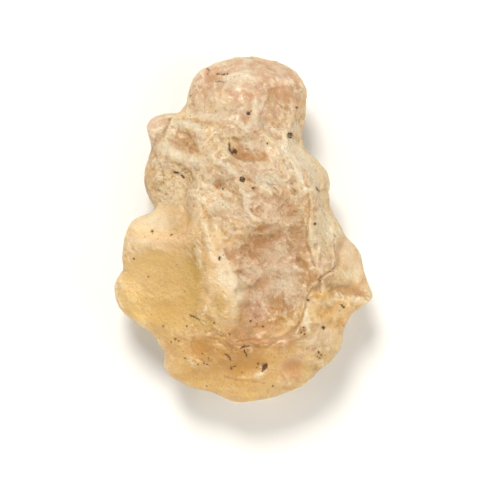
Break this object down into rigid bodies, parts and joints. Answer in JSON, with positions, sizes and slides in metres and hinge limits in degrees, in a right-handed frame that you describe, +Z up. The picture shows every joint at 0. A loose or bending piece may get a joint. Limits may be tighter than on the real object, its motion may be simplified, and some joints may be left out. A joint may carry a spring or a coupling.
{
  "type": "raw desert glass stone",
  "caption": "Raw lump of pale yellow natural silica glass with a narrow head, worn bowls, pits and rounded ridges.",
  "frame": {"origin": "middle of the bounding box in plan, on the plane that the lump lies on", "axes": "+Y along the longest way, from the broad end to the narrow head; +Z up, through the thickness; +X to the right seen from above"},
  "size_m": [0.0282, 0.0382, 0.0132],
  "materials": {
    "desert_glass": "frosted, wind-worn and slightly milky, with brown specks"
  },
  "bodies": {
    "root": {"desert_glass": "desert_glass"}
  },
  "joints": []
}
